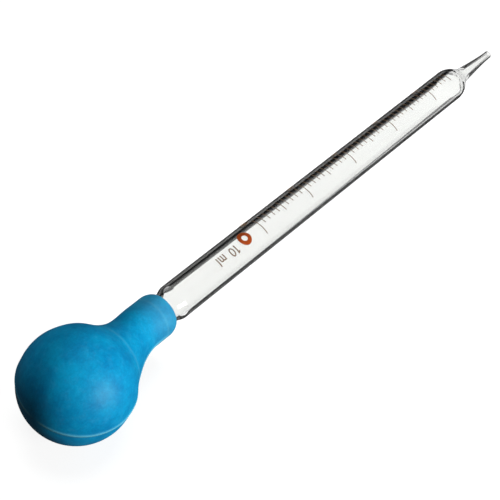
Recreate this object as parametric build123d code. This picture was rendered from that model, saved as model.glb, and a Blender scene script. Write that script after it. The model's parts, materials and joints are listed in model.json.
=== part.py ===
from build123d import *
import math
import os

# Graduated glass dropper pipette, 10 ml, with a blue rubber bulb.
#
# Every sub-part is drawn about one straight line: x runs from the bulb's far end (0) to the drawn
# tip, and r is the distance from that line. "around" is an angle about the line, 0 at the top and
# positive towards -Y. At the end the whole pipette is laid down as it rests on a table, on the
# bulb and on the lower end of the barrel, with the tip clear of the surface.
# Millimetres throughout.

# Glass barrel. One millilitre of a 10.1 mm bore is 12.5 mm long.
BARREL_R = 6.1
BORE_R = 5.05
WALL = BARREL_R - BORE_R
ML_LENGTH = 12.5
BARREL_START = 64.6
BARREL_END = 222.0

# Open end of the glass, drawn in a little, that the bulb is pushed over
STUB_R = 5.2
STUB_START = 46.0
STUB_END = 61.0

# Drawn tip
TIP_END = 250.1
TIP_R = 1.42
TIP_BORE_R = 0.65

# Rubber bulb
BULB_R = 18.2
BULB_WALL = 2.2
NECK_R = 7.42
NECK_BORE_R = STUB_R + 0.05
BULB_RIM = 58.6
LIP_LENGTH = 3.4
LIP_DROP = 1.4
MOUTH_ROUND = 0.5
BULB_LEAN = 3.0
LEAN_CENTRE = 52.0
SEAM_HEIGHT = 0.3
SEAM_WIDTH = 0.7
SEAM_TURN = 14.0

# Enamel printing
INK = 0.08
LINE_WIDTH = 0.3
TEN_ML_X = 106.4
LINES_START = -20.0
LONG_END = 48.0
HALF_END = 26.0
SHORT_END = 17.0
NUMERAL_AROUND = -38.0
NUMERAL_HEIGHT = 3.0
MARK_AROUND = 27.0
MARK_HEIGHT = 3.3
MARK_STROKE = 0.42
MARK_X = 88.3
RING_X = 97.9
RING_AROUND = 15.5
RING_OUTER_R = 2.55
RING_INNER_R = 1.1

# How the pipette lies: the line slopes down towards the tip
LIE_ANGLE = math.degrees(math.asin((BULB_R - BARREL_R) / (BARREL_END - BULB_R)))


def turned(curves):
    """The solid swept by a closed outline in the (x, r) plane, turned once about the line."""
    return revolve(make_face(Curve() + curves), Axis.X)


# ---------------------------------------------------------------- glass


def glass_tube():
    """One length of tubing: stub, barrel, shoulder and drawn tip, with flame-rounded ends."""
    stub_bore_r = STUB_R - WALL
    lip = WALL / 2
    tip_lip = (TIP_R - TIP_BORE_R) / 2
    stub_face = STUB_START + lip
    tip_face = TIP_END - tip_lip
    along = (1, 0)

    stub = Line((stub_face, STUB_R), (STUB_END, STUB_R))
    neck = Spline(stub @ 1, (BARREL_START, BARREL_R), tangents=[along, along])
    barrel = Line(neck @ 1, (BARREL_END, BARREL_R))
    shoulder = Spline(
        barrel @ 1, (225.6, 5.35), (228.1, 4.0), (230.0, 3.12), (232.6, 2.68), (236.6, 2.3), (243.6, 1.7),
        (tip_face, TIP_R), tangents=[along, along],
    )
    tip_end = ThreePointArc(shoulder @ 1, (TIP_END, TIP_R - tip_lip), (tip_face, TIP_BORE_R))
    tip_bore = Spline(
        tip_end @ 1, (243.6, 0.85), (236.6, 1.35), (232.0, 1.75), (229.2, 2.2), (227.0, 3.1), (224.7, 4.4),
        (BARREL_END - 0.6, BORE_R), tangents=[(-1, 0), (-1, 0)],
    )
    bore = Line(tip_bore @ 1, (BARREL_START + 0.4, BORE_R))
    neck_bore = Spline(bore @ 1, (STUB_END - 0.4, stub_bore_r), tangents=[(-1, 0), (-1, 0)])
    stub_bore = Line(neck_bore @ 1, (stub_face, stub_bore_r))
    stub_end = ThreePointArc(stub_bore @ 1, (STUB_START, STUB_R - lip), stub @ 0)
    return turned([stub, neck, barrel, shoulder, tip_end, tip_bore, bore, neck_bore, stub_bore, stub_end])


# ---------------------------------------------------------------- rubber


def bulb_form(inset):
    """The bulb's pear shape, each point moved in by inset, closed at the neck's plain end."""
    ball_r = BULB_R - inset
    far_end = (inset, 0)
    quarter = (BULB_R - ball_r * math.sqrt(0.5), ball_r * math.sqrt(0.5))
    ball = ThreePointArc(far_end, quarter, (BULB_R, ball_r))
    flare = Spline(
        ball @ 1, (23.5, 17.35 - inset), (28.3, 15.3 - inset), (32.0, 12.4 - inset), (35.5, 10.2 - inset),
        (39.5, 8.5 - inset), (44.5, 7.6 - inset), (50.0, NECK_R - inset), tangents=[(1, 0), (1, 0)],
    )
    neck = Line(flare @ 1, (BULB_RIM - LIP_LENGTH, NECK_R - inset))
    lip = Spline(
        neck @ 1, (BULB_RIM - 0.9, NECK_R - 0.5 - inset), (BULB_RIM, NECK_R - LIP_DROP - inset),
        tangents=[(1, 0), (0, -1)],
    )
    rim = Line(lip @ 1, (BULB_RIM, 0))
    return turned([ball, flare, neck, lip, rim, Line(rim @ 1, far_end)])


def leaned(shape):
    """The bulb sits a little askew on the glass: it leans sideways about the middle of its neck."""
    return Pos(LEAN_CENTRE, 0, 0) * Rot(0, 0, BULB_LEAN) * Pos(-LEAN_CENTRE, 0, 0) * shape


def mould_seam():
    """The raised line that the two halves of the mould leave along both sides of the bulb."""
    slab = Pos(BULB_RIM / 2 - 3, 0, 0) * Box(BULB_RIM, 3 * BULB_R, SEAM_WIDTH)
    return bulb_form(-SEAM_HEIGHT) & (Rot(SEAM_TURN, 0, 0) * slab)


def neck_bore():
    """The straight bore that grips the glass, with a rounded mouth."""
    start = STUB_START - 2.0
    mouth_r = NECK_BORE_R + MOUTH_ROUND
    end = Line((start, 0), (start, NECK_BORE_R))
    wall = Line(end @ 1, (BULB_RIM - MOUTH_ROUND, NECK_BORE_R))
    mouth = RadiusArc(wall @ 1, (BULB_RIM, mouth_r), MOUTH_ROUND)
    clear = Polyline(mouth @ 1, (BULB_RIM + 1, mouth_r), (BULB_RIM + 1, 0), (start, 0))
    return turned([end, wall, mouth, clear])


def rubber_bulb():
    """Hollow one-piece bulb: pear-shaped wall, rolled rim, and a bore that grips the glass."""
    outside = bulb_form(0) + mould_seam()
    # the air space narrows until the neck's bore takes over
    air = bulb_form(BULB_WALL) & (Pos(20, 0, 0) * Box(50, 4 * BULB_R, 4 * BULB_R))
    return leaned(outside) - leaned(air) - neck_bore()


# ---------------------------------------------------------------- enamel printing


def scale_x(ml):
    """Where the line for a volume stands: the scale counts up from the tip to the bulb."""
    return TEN_ML_X + (10 - ml) * ML_LENGTH


def scale_lines(end, volumes):
    """One line per volume, each running round the barrel from LINES_START to end."""
    lines = []
    for ml in volumes:
        section = Pos(scale_x(ml), BARREL_R + INK / 2) * Rectangle(LINE_WIDTH, INK)
        arc = revolve(section, Axis.X, end - LINES_START)
        # the section is drawn at +Y, a quarter turn short of the top
        lines.append(Rot(90 + LINES_START, 0, 0) * arc)
    return lines


def ring_stroke(x, y, rx, ry, pen):
    return Pos(x, y) * (Ellipse(rx, ry) - Ellipse(rx - pen, ry - pen))


def glyph(character, pen):
    """A plain drawn character of height 1 standing on the line y = 0, and its width."""
    half = pen / 2
    top = 1 - half
    if character == "0":
        return ring_stroke(0.31, 0.5, 0.31, 0.5, pen), 0.62
    if character == "1":
        return trace([Line((0.3, 0), (0.3, 1)), Line((0.3, top), (0.08, 0.78))], pen), 0.4
    if character == "2":
        hook = ThreePointArc((half, 0.72), (0.3, top), (0.56, 0.7))
        return trace([hook, Line(hook @ 1, (half, half)), Line((0, half), (0.6, half))], pen), 0.6
    if character == "4":
        strokes = [Line((0.45, 0), (0.45, 1)), Line((0.45, top), (half, 0.3)), Line((0, 0.3), (0.62, 0.3))]
        return trace(strokes, pen), 0.62
    if character == "6":
        stem = ThreePointArc((half, 0.33), (0.16, 0.74), (0.5, top))
        return ring_stroke(0.31, 0.31, 0.31, 0.31, pen) + trace([stem], pen), 0.62
    if character == "8":
        return ring_stroke(0.31, 0.28, 0.31, 0.28, pen) + ring_stroke(0.31, 0.74, 0.26, 0.26, pen), 0.62
    if character == "m":
        stems = [Line((x, 0), (x, 0.44)) for x in (half, 0.4, 0.8 - half)]
        arches = [ThreePointArc((x, 0.44), (x + 0.17, 0.64), (x + 0.34, 0.44)) for x in (half, 0.4)]
        return trace(stems + arches + [Line((half, 0.4), (half, 0.7))], pen), 0.8
    if character == "l":
        return trace([Line((half, 0), (half, 1))], pen), pen
    return None, 0.3


def word(text, height, pen):
    """A centred line of characters."""
    gap = 0.2
    x = 0
    letters = Sketch()
    for character in text:
        shape, width = glyph(character, pen / height)
        if shape:
            letters += Pos(x, 0) * shape
        x += width + gap
    return Pos(-(x - gap) / 2 * height, -height / 2) * scale(letters, by=height)


def printed(sketch, x, around, reads_round):
    """A flat sketch wrapped on to the barrel as a skin of enamel.

    It reads round the barrel, upright when the tip points down, or along it, from tip to bulb.
    """
    side = math.radians(around)
    outward = Vector(0, -math.sin(side), math.cos(side))
    reading = Vector(0, math.cos(side), math.sin(side)) if reads_round else Vector(-1, 0, 0)
    spot = Plane(origin=Vector(x, 0, 0) + outward * (BARREL_R - 2), x_dir=reading, z_dir=outward)
    column = extrude(spot * sketch, amount=4)
    length = 20
    skin = Cylinder(BARREL_R + INK, length) - Cylinder(BARREL_R, length)
    return column & (Pos(x, 0, 0) * Rot(0, 90, 0) * skin)


def scale_numerals():
    """The volume beside each long line, a little above it."""
    above = -NUMERAL_HEIGHT * 0.7
    shapes = []
    for ml in (2, 4, 6, 8, 10):
        figure = word(str(ml), NUMERAL_HEIGHT, LINE_WIDTH)
        shapes.append(printed(figure, scale_x(ml) + above, NUMERAL_AROUND, reads_round=True))
    return shapes


def capacity_mark():
    return [printed(word("10 ml", MARK_HEIGHT, MARK_STROKE), MARK_X, MARK_AROUND, reads_round=False)]


def colour_ring():
    ring = Circle(RING_OUTER_R) - Circle(RING_INNER_R)
    return [printed(ring, RING_X, RING_AROUND, reads_round=False)]


# ---------------------------------------------------------------- the whole pipette

tenths = [n / 5 for n in range(5, 51)]
long_lines = [ml for ml in tenths if ml % 2 == 0]
half_lines = [ml for ml in tenths if ml % 2 == 1]
short_lines = [ml for ml in tenths if ml not in long_lines + half_lines]

nodes = {
    "glass_tube": [glass_tube()],
    "rubber_bulb": [rubber_bulb()],
    "scale_long_lines": scale_lines(LONG_END, long_lines),
    "scale_half_lines": scale_lines(HALF_END, half_lines),
    "scale_short_lines": scale_lines(SHORT_END, short_lines),
    "scale_numerals": scale_numerals(),
    "capacity_mark": capacity_mark(),
    "colour_ring": colour_ring(),
}

# Laid down, then moved so that the middle of the pipette's outline is over the origin
lie = Rot(0, LIE_ANGLE, 0)
solids = {node: [lie * solid for shape in shapes for solid in shape.solids()] for node, shapes in nodes.items()}
outline = Compound([solids["glass_tube"][0], solids["rubber_bulb"][0]]).bounding_box()
to_origin = Pos(-outline.center().X, -outline.center().Y, -outline.min.Z)

os.makedirs("parts", exist_ok=True)
for node, shapes in solids.items():
    export_step(Compound([to_origin * solid for solid in shapes]), f"parts/{node}.step")
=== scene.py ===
import json
import math

import bpy
import numpy as np
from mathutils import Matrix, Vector


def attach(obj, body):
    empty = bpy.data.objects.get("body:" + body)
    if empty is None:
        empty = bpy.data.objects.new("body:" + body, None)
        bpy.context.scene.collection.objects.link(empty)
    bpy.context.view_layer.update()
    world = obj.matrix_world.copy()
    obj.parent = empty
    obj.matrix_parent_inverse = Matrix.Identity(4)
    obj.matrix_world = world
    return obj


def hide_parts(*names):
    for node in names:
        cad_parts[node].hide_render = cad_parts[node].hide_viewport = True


# A graduated glass dropper pipette with a blue rubber bulb, lying on a pale table.
#
# The glass is straight, so its pieces are drawn about one line. x runs along that line in
# millimetres from the bulb's far end (0) to the drawn tip, r is the distance from it, and an angle
# "around" is 0 at the top and positive towards -Y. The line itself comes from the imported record.

MM = 0.001

# ---------------------------------------------------------------- sizes, millimetres

BARREL_R = 6.1
BORE_R = 5.05
WALL = BARREL_R - BORE_R
BARREL_START = 64.6
BARREL_END = 222.0
STUB_R = 5.2
STUB_START = 46.0
STUB_END = 61.0
TIP_END = 250.1
TIP_R = 1.42
TIP_BORE_R = 0.65
SHOULDER_MIDDLE = 227.0
TIP_START = 230.4
LOWER_AROUND = 124.8
BORE_START = BARREL_START + 0.4
BORE_END = BARREL_END - 0.6
STUB_BORE_END = STUB_END - 0.4

# How far the glass's painted dark edge is held back: painted shade, standing in for dark surroundings
# seen through the glass. The pairs are for the barrel's lower side: the value where it starts, and how
# much that changes by its end. The others are for the drawn tip, and for the shoulder's middle and its
# junction with the tip.
OUTSIDE_THIN = (0.09, 0.12)
INSIDE_THIN = (0.4, -0.25)
TIP_THIN = 0.07
SHOULDER_FADE = 0.9

BULB_R = 18.2
BULB_WALL = 2.2
NECK_R = 7.42
NECK_BORE_R = 5.25
BULB_RIM = 58.6
LIP_LENGTH = 3.4
LIP_DROP = 1.4
MOUTH_ROUND = 0.5
AIR_END = 43.0
NECK_BORE_START = STUB_START - 2
BULB_SHIFT = 1.75
SHIFT_START = 49.2
SHIFT_LENGTH = 14.5
SEAM_HEIGHT = 0.3
SEAM_HALF_WIDTH = 0.48
SEAM_AROUND = 104.0
SEAM_SPREAD = 3.2
SEAM_WEAR = 0.46
SHOULDER_FOLD = 33.5
FOLD_WIDTH = 0.45
FOLD_WEAR = 0.1
NECK_BAND = 53.4
BAND_WIDTH = 0.4
BAND_WEAR = 0.08
# the neck's colour is made lighter and greener towards the rim
NECK_TINT = 0.11
NECK_TINT_START = 44
NECK_TINT_LENGTH = 12

# ---------------------------------------------------------------- the frame

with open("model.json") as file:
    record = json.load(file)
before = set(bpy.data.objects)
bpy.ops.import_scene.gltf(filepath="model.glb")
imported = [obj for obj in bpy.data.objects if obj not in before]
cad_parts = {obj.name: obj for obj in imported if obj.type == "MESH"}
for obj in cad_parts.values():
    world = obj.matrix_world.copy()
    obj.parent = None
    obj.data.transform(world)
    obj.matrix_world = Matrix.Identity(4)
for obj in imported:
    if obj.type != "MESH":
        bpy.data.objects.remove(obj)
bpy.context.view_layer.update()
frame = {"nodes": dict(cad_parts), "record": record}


def mount(name):
    return next(m for m in frame["record"]["mounts"] if m["name"] == name)


TIPWARD = Vector(mount("tip_outlet")["axis"]).normalized()
TIP_POINT = Vector(mount("tip_outlet")["pos_m"])
LINE_START = TIP_POINT - TIPWARD * TIP_END * MM
SIDE = Vector((0, 1, 0))
UPWARD = TIPWARD.cross(SIDE)


def on_line(x, r=0.0, around=0.0, side=0.0):
    """A point in the frame, in metres. side moves it level, towards +Y."""
    turn = math.radians(around)
    outward = UPWARD * math.cos(turn) - SIDE * math.sin(turn)
    return LINE_START + (TIPWARD * x + outward * r + SIDE * side) * MM


# ---------------------------------------------------------------- mesh helpers


def curve_through(points, start, end, steps):
    """A smooth curve through points, leaving and arriving along the given unit directions."""
    p = np.array(points, float)
    t = np.concatenate([[0], np.cumsum(np.linalg.norm(np.diff(p, axis=0), axis=1))])
    n = len(p)
    h = np.diff(t)
    rows = np.zeros((n, n))
    right = np.zeros((n, 2))
    rows[0, 0] = rows[-1, -1] = 1
    right[0], right[-1] = start, end
    for i in range(1, n - 1):
        rows[i, i - 1 : i + 2] = h[i], 2 * (h[i - 1] + h[i]), h[i - 1]
        right[i] = 3 * (h[i] * (p[i] - p[i - 1]) / h[i - 1] + h[i - 1] * (p[i + 1] - p[i]) / h[i])
    slope = np.linalg.solve(rows, right)
    out = []
    for u in np.linspace(t[0], t[-1], steps):
        i = min(n - 2, max(0, int(np.searchsorted(t, u, "right")) - 1))
        s = (u - t[i]) / h[i]
        out.append(
            (2 * s**3 - 3 * s**2 + 1) * p[i]
            + (s**3 - 2 * s**2 + s) * h[i] * slope[i]
            + (3 * s**2 - 2 * s**3) * p[i + 1]
            + (s**3 - s**2) * h[i] * slope[i + 1]
        )
    return [tuple(v) for v in out]


def arc(centre, radius, start, end, steps):
    """Points of a circle's arc in the (x, r) plane, angles in degrees."""
    turns = np.radians(np.linspace(start, end, steps))
    return [(centre[0] + radius * math.cos(a), centre[1] + radius * math.sin(a)) for a in turns]


def straight(start, end, steps):
    return [tuple(v) for v in np.linspace(start, end, steps)]


def joined(*stretches):
    """Stretches of an outline end to end, without the points that they share."""
    out = []
    for stretch in stretches:
        for point in stretch:
            if not out or math.dist(point, out[-1]) > 1e-6:
                out.append(point)
    return out


def eased(t):
    t = min(1.0, max(0.0, t))
    return t * t * (3 - 2 * t)


def make_mesh(name, vertices, faces):
    mesh = bpy.data.meshes.new(name)
    mesh.from_pydata([tuple(v) for v in vertices], [], faces)
    mesh.validate()
    mesh.shade_smooth()
    piece = bpy.data.objects.new(name, mesh)
    bpy.context.collection.objects.link(piece)
    return piece


def lathe(name, outline, arounds, place, closed):
    """Turns an outline of (x, r) about the line. place gives the point for (index, x, r, around)."""
    count = len(arounds)
    vertices, rings = [], []
    for i, (x, r) in enumerate(outline):
        if r < 1e-6:
            rings.append([len(vertices)])
            vertices.append(place(i, x, 0.0, 0.0))
            continue
        rings.append(list(range(len(vertices), len(vertices) + count)))
        vertices += [place(i, x, r, around) for around in arounds]
    pairs = list(zip(rings, rings[1:] + rings[:1])) if closed else list(zip(rings, rings[1:]))
    faces = []
    for a, b in pairs:
        for k in range(count):
            nxt = (k + 1) % count
            corners = [a[k % len(a)], a[nxt % len(a)], b[nxt % len(b)], b[k % len(b)]]
            face = list(dict.fromkeys(corners))
            if len(face) > 2:
                faces.append(face)
    return make_mesh(name, vertices, faces)


# ---------------------------------------------------------------- materials


class Nodes:
    """Short words for building a node material."""

    def __init__(self, name):
        self.material = bpy.data.materials.new(name)
        self.material.use_nodes = True
        self.tree = self.material.node_tree
        self.shader = self.tree.nodes["Principled BSDF"]

    def node(self, kind, **values):
        node = self.tree.nodes.new(kind)
        for key, value in values.items():
            if key in node.inputs:
                node.inputs[key].default_value = value
            else:
                setattr(node, key, value)
        return node

    def link(self, source, target):
        self.tree.links.new(source, target)

    def set(self, **values):
        for key, value in values.items():
            self.shader.inputs[key.replace("_", " ")].default_value = value

    def place(self):
        return self.node("ShaderNodeTexCoord").outputs["Object"]

    def noise(self, scale, detail=2.0, roughness=0.5):
        noise = self.node("ShaderNodeTexNoise", Scale=scale, Detail=detail, Roughness=roughness)
        self.link(self.place(), noise.inputs["Vector"])
        return noise.outputs["Fac"]

    def ramp(self, factor, stops):
        ramp = self.node("ShaderNodeValToRGB")
        elements = ramp.color_ramp.elements
        while len(elements) < len(stops):
            elements.new(0.5)
        for element, (position, colour) in zip(elements, stops):
            element.position = position
            element.color = (*colour, 1.0) if len(colour) == 3 else colour
        self.link(factor, ramp.inputs["Fac"])
        return ramp.outputs["Color"]

    def grey_ramp(self, factor, stops):
        return self.ramp(factor, [(position, (value,) * 3) for position, value in stops])

    def mix(self, factor, a, b, blend="MIX"):
        mix = self.node("ShaderNodeMix", data_type="RGBA", blend_type=blend)
        for socket, value in zip((mix.inputs[0], mix.inputs[6], mix.inputs[7]), (factor, a, b)):
            if hasattr(value, "links"):
                self.link(value, socket)
            else:
                socket.default_value = value
        return mix.outputs[2]

    def bump(self, heights):
        """heights is a list of (height output, strength, distance in metres)."""
        last = None
        for height, strength, distance in heights:
            bump = self.node("ShaderNodeBump", Strength=strength, Distance=distance)
            self.link(height, bump.inputs["Height"])
            if last:
                self.link(last.outputs["Normal"], bump.inputs["Normal"])
            last = bump
        self.link(last.outputs["Normal"], self.shader.inputs["Normal"])


def clear_glass():
    """Clear glass with painted shade at its edges: darkened where the surface turns away from the eye,
    standing in for dark surroundings seen through the glass, less so where the edge-thinning attribute is
    high.
    """
    n = Nodes("clear_glass")
    n.set(IOR=1.5, Transmission_Weight=1.0)
    turned_away = n.node("ShaderNodeLayerWeight", Blend=0.5).outputs["Facing"]
    edge = n.node("ShaderNodeMath", operation="SUBTRACT")
    n.link(turned_away, edge.inputs[0])
    n.link(n.node("ShaderNodeAttribute", attribute_name="painted_edge_thinning").outputs["Fac"], edge.inputs[1])
    body = (0.91, 0.915, 0.905)
    # painted shade: near-black bands painted into the glass's colour at grazing angles, standing in for
    # dark surroundings seen through its edges
    painted_edge_shade = [
        (0.43, 0.12), (0.455, 0.003), (0.5, 0.0002), (0.55, 0.0006),
        (0.6, 0.03), (0.65, 0.03), (0.73, 0.002), (1.0, 0.001),
    ]
    tint = [(0.0, body), (0.4, body)] + [(position, (grey,) * 3) for position, grey in painted_edge_shade]
    n.link(n.ramp(edge.outputs[0], tint), n.shader.inputs["Base Color"])
    n.link(n.grey_ramp(n.noise(220, 3), [(0.35, 0.0), (0.75, 0.02)]), n.shader.inputs["Roughness"])
    return n.material


def blue_rubber():
    """Moulded satin rubber with a mottled bloom and fine grain."""
    n = Nodes("blue_rubber")
    patches = n.ramp(n.noise(110, 6, 0.7), [(0.36, (0.001, 0.185, 0.4)), (0.64, (0.002, 0.28, 0.52))])
    specks = n.grey_ramp(n.noise(1300, 4, 0.7), [(0.42, 0.92), (0.6, 1.04)])
    mottle = n.mix(1.0, patches, specks, "MULTIPLY")
    bloom = n.grey_ramp(n.noise(420, 4, 0.7), [(0.5, 0.0), (0.7, 0.1)])
    dusty = n.mix(bloom, mottle, (0.08, 0.42, 0.68, 1))
    wear_and_neck_tint = n.node("ShaderNodeAttribute", attribute_name="wear_and_neck_tint").outputs["Fac"]
    # lighter, greener colour on the worn mould lines, and on the neck towards the rim
    n.link(n.mix(wear_and_neck_tint, dusty, (0.22, 0.6, 0.64, 1)), n.shader.inputs["Base Color"])
    n.link(n.grey_ramp(n.noise(160, 4), [(0.3, 0.4), (0.7, 0.52)]), n.shader.inputs["Roughness"])
    n.set(Specular_IOR_Level=0.2, Specular_Tint=(0.55, 1.0, 0.9, 1.0))
    n.bump([(n.noise(2600, 3, 0.6), 0.16, 0.00006), (n.noise(180, 3), 0.25, 0.0001)])
    return n.material


def enamel(name, low, high):
    """Fired enamel: a little uneven in colour, slightly glossy."""
    n = Nodes(name)
    n.link(n.ramp(n.noise(900, 4, 0.6), [(0.35, low), (0.65, high)]), n.shader.inputs["Base Color"])
    n.link(n.grey_ramp(n.noise(700, 2), [(0.3, 0.3), (0.7, 0.5)]), n.shader.inputs["Roughness"])
    n.bump([(n.noise(2500, 2), 0.3, 0.00002)])
    return n.material


def pale_floor():
    n = Nodes("pale_floor")
    n.link(
        n.ramp(n.noise(9, 3), [(0.3, (0.29, 0.29, 0.288)), (0.7, (0.31, 0.31, 0.308))]),
        n.shader.inputs["Base Color"],
    )
    n.set(Roughness=0.8, Specular_IOR_Level=0.0, Emission_Color=(1, 1, 1, 1), Emission_Strength=0.85)
    return n.material


# ---------------------------------------------------------------- glass


def glass_outline():
    """The wall's closed section, outside from stub to tip and back along the bore.

    The number of outside points comes with it.
    """
    lip = WALL / 2
    tip_lip = (TIP_R - TIP_BORE_R) / 2
    stub_face = STUB_START + lip
    tip_face = TIP_END - tip_lip
    out, back = (1, 0), (-1, 0)
    shoulder = [
        (BARREL_END, BARREL_R), (225.6, 5.35), (228.1, 4.0), (230.0, 3.12), (232.6, 2.68), (236.6, 2.3),
        (243.6, 1.7), (tip_face, TIP_R),
    ]
    tip_bore = [
        (tip_face, TIP_BORE_R), (243.6, 0.85), (236.6, 1.35), (232.0, 1.75), (229.2, 2.2), (227.0, 3.1),
        (224.7, 4.4), (BORE_END, BORE_R),
    ]
    outside = joined(
        straight((stub_face, STUB_R), (STUB_END, STUB_R), 6),
        curve_through([(STUB_END, STUB_R), (BARREL_START, BARREL_R)], out, out, 14),
        straight((BARREL_START, BARREL_R), (BARREL_END, BARREL_R), 40),
        curve_through(shoulder, out, out, 70),
        arc((tip_face, TIP_R - tip_lip), tip_lip, 90, -90, 12),
    )
    inside = joined(
        curve_through(tip_bore, back, back, 70),
        straight((BORE_END, BORE_R), (BORE_START, BORE_R), 40),
        curve_through([(BORE_START, BORE_R), (STUB_BORE_END, STUB_R - WALL)], back, back, 14),
        straight((STUB_BORE_END, STUB_R - WALL), (stub_face, STUB_R - WALL), 6),
        arc((stub_face, STUB_R - lip), lip, 270, 90, 12)[:-1],
    )
    return joined(outside, inside), len(outside)


def glass_tube():
    outline, outside_count = glass_outline()
    turns = np.linspace(0, 360, 180, endpoint=False)
    # how far the painted shade at the glass's edge is held back, one value per point
    painted_edge_thinning = []

    def place(i, x, r, around):
        # the painted dark edge (painted shade) is thinner on the barrel's lower side, and fades where the
        # shoulder meets the tip
        t = (x - BARREL_START) / (BARREL_END - BARREL_START)
        sideways = math.cos(math.radians(around - LOWER_AROUND))
        start, change = OUTSIDE_THIN if i < outside_count else INSIDE_THIN
        thin = start + change * t
        lower = thin * eased(1.5 * sideways) * eased((BARREL_END + 8 - x) / 5)
        middle = (1 - sideways**2) * math.exp(-(((x - SHOULDER_MIDDLE) / 3.0) ** 2))
        junction = math.exp(-(((x - TIP_START) / 1.4) ** 2))
        tip = TIP_THIN * eased((x - TIP_START) / 5)
        painted_edge_thinning.append(lower + tip + SHOULDER_FADE * max(middle, junction))
        return on_line(x, r, around)

    piece = lathe("glass_tube_blown", outline, turns, place, closed=True)
    piece.data.attributes.new("painted_edge_thinning", "FLOAT", "POINT").data.foreach_set("value", painted_edge_thinning)
    return piece


# ---------------------------------------------------------------- rubber bulb


def pear(inset, far_steps):
    """From the far end to the neck, moved in by inset."""
    ball = arc((BULB_R, 0), BULB_R - inset, 180, 90, far_steps)
    flare = [
        ball[-1],
        (23.5, 17.35 - inset), (28.3, 15.3 - inset), (32.0, 12.4 - inset), (35.5, 10.2 - inset),
        (39.5, 8.5 - inset), (44.5, 7.6 - inset), (50.0, NECK_R - inset),
    ]
    return ball, curve_through(flare, (1, 0), (1, 0), 60)


def bulb_outline():
    """Outside from the far end to the rim, over the lip, then back along the bore and the air space."""
    ball, flare = pear(0, 48)
    lip = [
        (BULB_RIM - LIP_LENGTH, NECK_R), (BULB_RIM - 0.9, NECK_R - 0.5), (BULB_RIM, NECK_R - LIP_DROP),
    ]
    mouth = arc((BULB_RIM - MOUTH_ROUND, NECK_BORE_R + MOUTH_ROUND), MOUTH_ROUND, 0, -90, 6)
    air_ball, air_flare = pear(BULB_WALL, 24)
    air_flare = [point for point in air_flare if point[0] < AIR_END]
    inside = [(NECK_BORE_START, NECK_BORE_R)] + air_flare[::-1] + air_ball[::-1]
    outside = joined(
        ball, flare, straight(flare[-1], lip[0], 14), curve_through(lip, (1, 0), (0, -1), 18), mouth
    )
    bore = straight(mouth[-1], (NECK_BORE_START, NECK_BORE_R), 12)
    return joined(outside, bore, inside), len(outside)


def rubber_bulb():
    outline, outside_count = bulb_outline()
    turns = list(np.linspace(0, 360, 192, endpoint=False))
    seams = (SEAM_AROUND, SEAM_AROUND + 180)
    for seam in seams:
        turns += [seam + step for step in np.linspace(-SEAM_SPREAD, SEAM_SPREAD, 17)]
    turns = sorted({round(turn % 360, 4) for turn in turns})
    wear_and_neck_tint = []

    def place(i, x, r, around):
        outside = i < outside_count
        shift = eased((SHIFT_START - x) / SHIFT_LENGTH)
        worn_and_tinted = 0.0
        if outside and r > 0:
            for seam in seams:
                away = abs((around - seam + 180) % 360 - 180)
                distance = math.radians(away) * r / SEAM_HALF_WIDTH
                fade = eased((BULB_RIM - 1.5 - x) / 6) * eased(r / 3)
                ridge = fade * math.exp(-distance * distance)
                r += SEAM_HEIGHT * ridge
                worn_and_tinted = max(worn_and_tinted, SEAM_WEAR * ridge)
            fold = FOLD_WEAR * math.exp(-(((x - SHOULDER_FOLD) / FOLD_WIDTH) ** 2))
            band = BAND_WEAR * math.exp(-(((x - NECK_BAND) / BAND_WIDTH) ** 2))
            # the neck's colour is made lighter and greener towards the rim, on top of the faint worn band
            worn_and_tinted = max(worn_and_tinted, fold, band + NECK_TINT * eased((x - NECK_TINT_START) / NECK_TINT_LENGTH))
        wear_and_neck_tint.append(worn_and_tinted)
        return on_line(x, r, around, side=-BULB_SHIFT * shift)

    piece = lathe("rubber_bulb_moulded", outline, turns, place, closed=False)
    piece.data.attributes.new("wear_and_neck_tint", "FLOAT", "POINT").data.foreach_set("value", wear_and_neck_tint)
    return piece


# ---------------------------------------------------------------- the object

tube = glass_tube()
tube.data.materials.append(clear_glass())
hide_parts("glass_tube")
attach(tube, "glass")
tube.visible_shadow = False

bulb = rubber_bulb()
bulb.data.materials.append(blue_rubber())
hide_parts("rubber_bulb")
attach(bulb, "bulb")

brown = enamel("brown_enamel", (0.14, 0.09, 0.055), (0.2, 0.13, 0.08))
orange = enamel("orange_enamel", (0.26, 0.035, 0.002), (0.36, 0.06, 0.005))
for name, node in frame["nodes"].items():
    if name in ("glass_tube", "rubber_bulb"):
        continue
    node.data.materials.clear()
    node.data.materials.append(orange if name == "colour_ring" else brown)

# ---------------------------------------------------------------- floor, light and camera

FLOOR_REACH = 4.0
floor_corners = [(FLOOR_REACH * x, FLOOR_REACH * y, 0) for x, y in ((-1, -1), (1, -1), (1, 1), (-1, 1))]
floor = make_mesh("floor", floor_corners, [(0, 1, 2, 3)])
floor.data.materials.append(pale_floor())
# the table throws no light back up, so that the bulb keeps its dark side
floor.visible_diffuse = False
floor.visible_glossy = False


def area_light(name, place, aim, size, power):
    data = bpy.data.lights.new(name, "AREA")
    data.shape = "RECTANGLE"
    data.size, data.size_y = size
    data.energy = power
    lamp = bpy.data.objects.new(name, data)
    lamp.location = place
    lamp.rotation_mode = "QUATERNION"
    lamp.rotation_quaternion = (Vector(place) - Vector(aim)).to_track_quat("Z", "Y")
    bpy.context.collection.objects.link(lamp)
    return lamp


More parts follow.
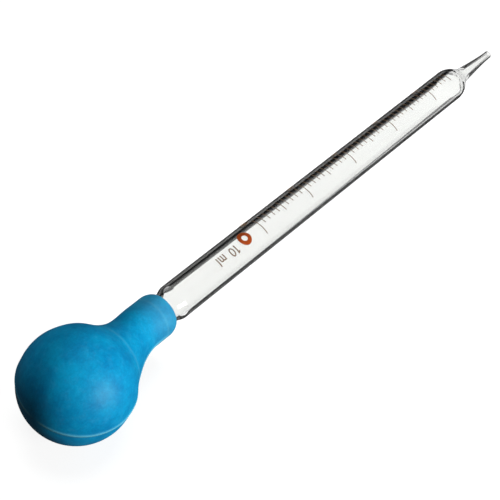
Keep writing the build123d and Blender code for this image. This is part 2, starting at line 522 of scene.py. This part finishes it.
BULB_SPOT = (-0.105, 0.0, 0.02)
KEY_WATTS = 16
TOP_WATTS = 9.5
key = area_light("key_light", (0.06, -1.03, 0.2), BULB_SPOT, (0.5, 0.38), KEY_WATTS)
top = area_light("top_light", (0.3, 0.15, 1.2), (0, 0, 0), (1.0, 0.8), TOP_WATTS)
top.visible_glossy = False
for lamp in (key, top):
    lamp.visible_transmission = False


def studio_world():
    """White as a backdrop and through the glass, nearly dark as a light."""
    world = bpy.data.worlds.new("studio")
    world.use_nodes = True
    tree = world.node_tree
    path = tree.nodes.new("ShaderNodeLightPath")
    seen = tree.nodes.new("ShaderNodeMath")
    seen.operation = "MAXIMUM"
    tree.links.new(path.outputs["Is Camera Ray"], seen.inputs[0])
    tree.links.new(path.outputs["Is Transmission Ray"], seen.inputs[1])
    shade = tree.nodes.new("ShaderNodeMapRange")
    shade.inputs["To Min"].default_value = 0.05
    shade.inputs["To Max"].default_value = 1.0
    tree.links.new(seen.outputs[0], shade.inputs["Value"])
    tree.links.new(shade.outputs["Result"], tree.nodes["Background"].inputs["Strength"])
    tree.nodes["Background"].inputs["Color"].default_value = (1, 1, 1, 1)
    return world


bpy.context.scene.world = studio_world()
bpy.context.scene.view_settings.view_transform = "Standard"

# The camera stands on the bulb's side of the pipette and looks down along it.
CAMERA_BACK = -330.0
CAMERA_OUT = 423.5
CAMERA_ACROSS = 2.1
CAMERA_AROUND = 34.8
LOOK_ALONG = 0.6084
LOOK_IN = 0.7936
TEN_ML_X = 106.4
LENS = 117.0

camera_turn = math.radians(CAMERA_AROUND)
outward = UPWARD * math.cos(camera_turn) - SIDE * math.sin(camera_turn)
camera_data = bpy.data.cameras.new("camera")
camera_data.lens = LENS
camera_data.clip_start = 0.01
camera = bpy.data.objects.new("camera", camera_data)
across = TIPWARD.cross(outward)
camera.location = on_line(TEN_ML_X + CAMERA_BACK, CAMERA_OUT, CAMERA_AROUND)
camera.location += across * CAMERA_ACROSS * MM
view = TIPWARD * LOOK_ALONG - outward * LOOK_IN
camera.rotation_mode = "QUATERNION"
camera.rotation_quaternion = (-view).to_track_quat("Z", "Y")
bpy.context.collection.objects.link(camera)
bpy.context.scene.camera = camera
